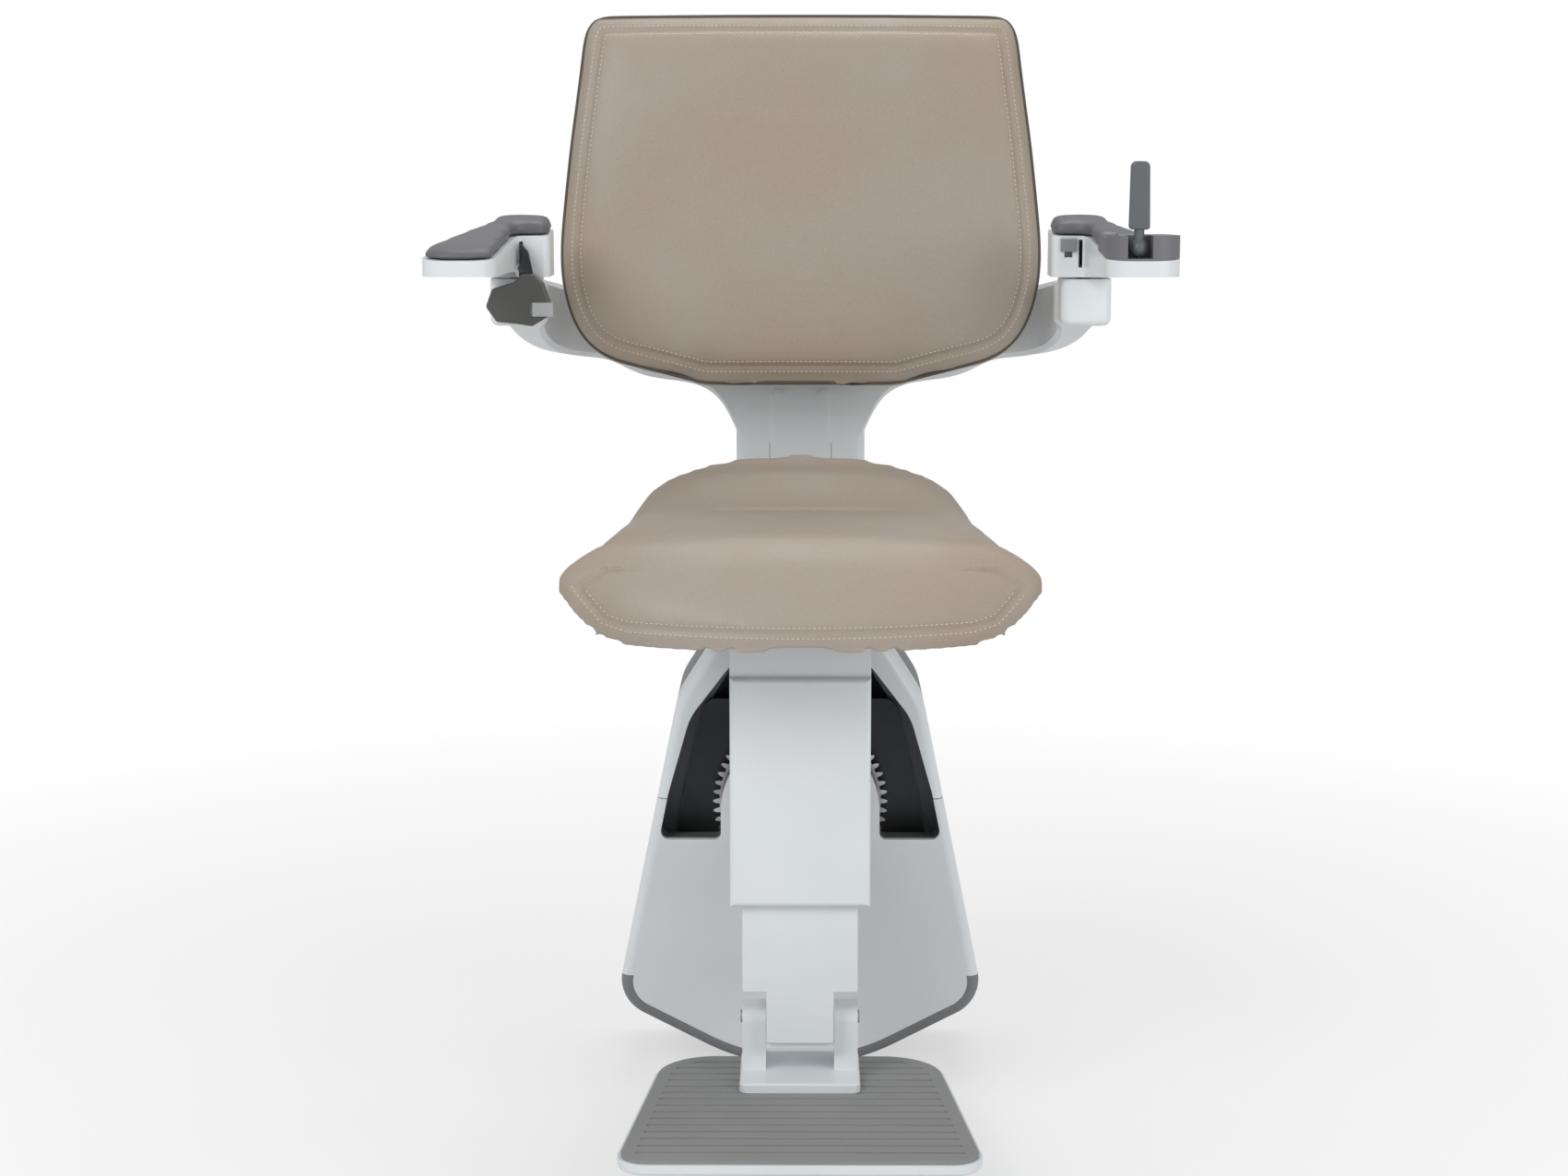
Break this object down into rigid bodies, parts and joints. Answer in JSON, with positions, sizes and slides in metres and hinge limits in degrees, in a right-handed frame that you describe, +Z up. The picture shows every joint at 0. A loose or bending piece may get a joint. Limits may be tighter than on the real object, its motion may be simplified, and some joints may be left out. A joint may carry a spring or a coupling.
{
  "type": "stairlift chair",
  "caption": "Stairlift chair: rail carriage with levelling bracket, swivelling padded seat with folding arms, seat and telescopic footrest.",
  "frame": {"origin": "centre line of the rail tube that the carriage grips, midway between its rollers", "axes": "+X along the rail to the sitter's left seen from the front as the right, -Y to the sitter's front, +Z up"},
  "size_m": [0.664, 0.5587, 1.0497],
  "materials": {
    "steel_plate": "black powder coat",
    "steel": "turned",
    "cast_alloy": "cast",
    "motor_black": "satin",
    "battery_black": "fine texture",
    "board_green": "solder mask",
    "brass": "plain",
    "bronze": "sintered",
    "white_shell": "satin white moulding",
    "white_panel": "satin white moulding",
    "grey_plastic": "fine texture",
    "liner_grey": "fine texture",
    "painted_steel": "powder coat",
    "white_metal": "powder coat",
    "screw_steel": "button heads, white",
    "tan_leather": "soft grain, stitched",
    "dark_plastic": "satin",
    "slide_nylon": "plain",
    "grey_rubber": "ribbed",
    "arm_vinyl": "smooth",
    "arm_plastic": "satin",
    "belt_black": "woven webbing",
    "chrome": "polished",
    "button_grey": "satin",
    "stick_grey": "satin",
    "roller_nylon": "cast polyurethane"
  },
  "bodies": {
    "carriage": {"chassis_plate": "steel_plate", "roller_shafts": "steel", "drive_gearbox": "cast_alloy", "drive_motor": "motor_black", "level_hub": "steel", "level_retainer": "steel", "level_motor": "motor_black", "battery_left": "battery_black", "battery_right": "battery_black", "control_board": "board_green", "charge_contacts": "brass", "shroud_upper": "white_shell", "shroud_lower": "white_panel", "rim_band": "grey_plastic", "slot_liner": "liner_grey", "rear_cover": "grey_plastic"},
    "roller_upper_left_body": {"roller_upper_left": "roller_nylon"},
    "roller_upper_right_body": {"roller_upper_right": "roller_nylon"},
    "roller_lower_left_body": {"roller_lower_left": "roller_nylon"},
    "roller_lower_right_body": {"roller_lower_right": "roller_nylon"},
    "drive": {"drive_pinion": "steel"},
    "level_drive": {"level_pinion": "steel"},
    "leveller": {"level_ring": "steel", "level_bracket": "painted_steel", "swivel_bush": "bronze"},
    "chair": {"spindle": "steel", "seat_base": "painted_steel", "seat_hinge_pins": "steel", "column_channel": "white_metal", "column_cover": "white_shell", "back_frame": "white_shell", "stem_hatch": "white_shell", "arm_hinge_pins": "steel", "back_bracket": "painted_steel", "backrest_shell": "grey_plastic", "backrest_pad": "tan_leather", "hatch_screws": "screw_steel"},
    "seat": {"seat_pan": "dark_plastic", "seat_pad": "tan_leather"},
    "leg": {"inner_column": "white_metal", "inner_column_cover": "white_shell", "slide_pads": "slide_nylon", "footrest_pin": "steel"},
    "footrest": {"footrest_plate": "white_shell", "footrest_mat": "grey_rubber", "footrest_bracket": "white_shell"},
    "arm_left": {"arm_shell_left": "white_shell", "arm_pad_left": "arm_vinyl", "belt_retractor": "dark_plastic", "belt_webbing": "belt_black", "belt_grip": "dark_plastic", "belt_tongue": "chrome"},
    "arm_right": {"arm_shell_right": "white_shell", "arm_pad_right": "arm_vinyl", "control_cap": "arm_plastic", "belt_latch": "dark_plastic"},
    "release_tab": {"belt_release_tab": "button_grey"},
    "stick": {"joystick": "stick_grey"},
    "button_front_body": {"arm_button_front": "button_grey"},
    "button_rear_body": {"arm_button_rear": "button_grey"}
  },
  "joints": [
    {"name": "level_tilt", "type": "hinge", "parent": "carriage", "child": "leveller", "pos_m": [0, -0.08, 0.15], "axis": [0, 1, 0], "range_deg": [-70, 70]},
    {"name": "level_pinion_spin", "type": "hinge", "parent": "carriage", "child": "level_drive", "pos_m": [0, -0.08, 0.045], "axis": [0, 1, 0], "range_deg": [-281, 281]},
    {"name": "drive_spin", "type": "hinge", "parent": "carriage", "child": "drive", "pos_m": [0, 0, -0.076], "axis": [0, 1, 0], "continuous": true},
    {"name": "roller_upper_left_spin", "type": "hinge", "parent": "carriage", "child": "roller_upper_left_body", "pos_m": [-0.1, 0, 0.0583], "axis": [0, 1, 0], "continuous": true},
    {"name": "roller_upper_right_spin", "type": "hinge", "parent": "carriage", "child": "roller_upper_right_body", "pos_m": [0.1, 0, 0.0583], "axis": [0, 1, 0], "continuous": true},
    {"name": "roller_lower_left_spin", "type": "hinge", "parent": "carriage", "child": "roller_lower_left_body", "pos_m": [-0.1, 0, -0.0583], "axis": [0, 1, 0], "continuous": true},
    {"name": "roller_lower_right_spin", "type": "hinge", "parent": "carriage", "child": "roller_lower_right_body", "pos_m": [0.1, 0, -0.0583], "axis": [0, 1, 0], "continuous": true},
    {"name": "swivel", "type": "hinge", "parent": "leveller", "child": "chair", "pos_m": [0, -0.27, 0.3], "axis": [0, 0, 1], "range_deg": [-75, 75]},
    {"name": "seat_fold", "type": "hinge", "parent": "chair", "child": "seat", "pos_m": [0, -0.11, 0.38], "axis": [-1, 0, 0], "range_deg": [0, 75]},
    {"name": "footrest_height", "type": "slide", "parent": "chair", "child": "leg", "axis": [0, 0, 1], "range_m": [0, 0.04]},
    {"name": "footrest_fold", "type": "hinge", "parent": "leg", "child": "footrest", "pos_m": [0, -0.262, -0.016], "axis": [-1, 0, 0], "range_deg": [0, 88]},
    {"name": "arm_left_fold", "type": "hinge", "parent": "chair", "child": "arm_left", "pos_m": [-0.2685, -0.13, 0.69], "axis": [-1, 0, 0], "range_deg": [0, 95]},
    {"name": "arm_right_fold", "type": "hinge", "parent": "chair", "child": "arm_right", "pos_m": [0.2685, -0.13, 0.69], "axis": [-1, 0, 0], "range_deg": [0, 95]},
    {"name": "joystick_tilt", "type": "hinge", "parent": "arm_right", "child": "stick", "pos_m": [0.295, -0.352, 0.708], "axis": [0, 1, 0], "range_deg": [-12, 12], "stiffness_Nm_per_rad": 0.4},
    {"name": "belt_release", "type": "slide", "parent": "arm_right", "child": "release_tab", "axis": [0, 0, -1], "range_m": [0, 0.008], "stiffness_N_per_m": 150, "springref_m": -0.006},
    {"name": "button_front_press", "type": "slide", "parent": "arm_right", "child": "button_front_body", "axis": [0, 0, -1], "range_m": [0, 0.001], "stiffness_N_per_m": 500, "springref_m": -0.001},
    {"name": "button_rear_press", "type": "slide", "parent": "arm_right", "child": "button_rear_body", "axis": [0, 0, -1], "range_m": [0, 0.001], "stiffness_N_per_m": 500, "springref_m": -0.001}
  ],
  "couplings": [
    {"joint": "level_pinion_spin", "follows": "level_tilt", "ratio": -4}
  ]
}
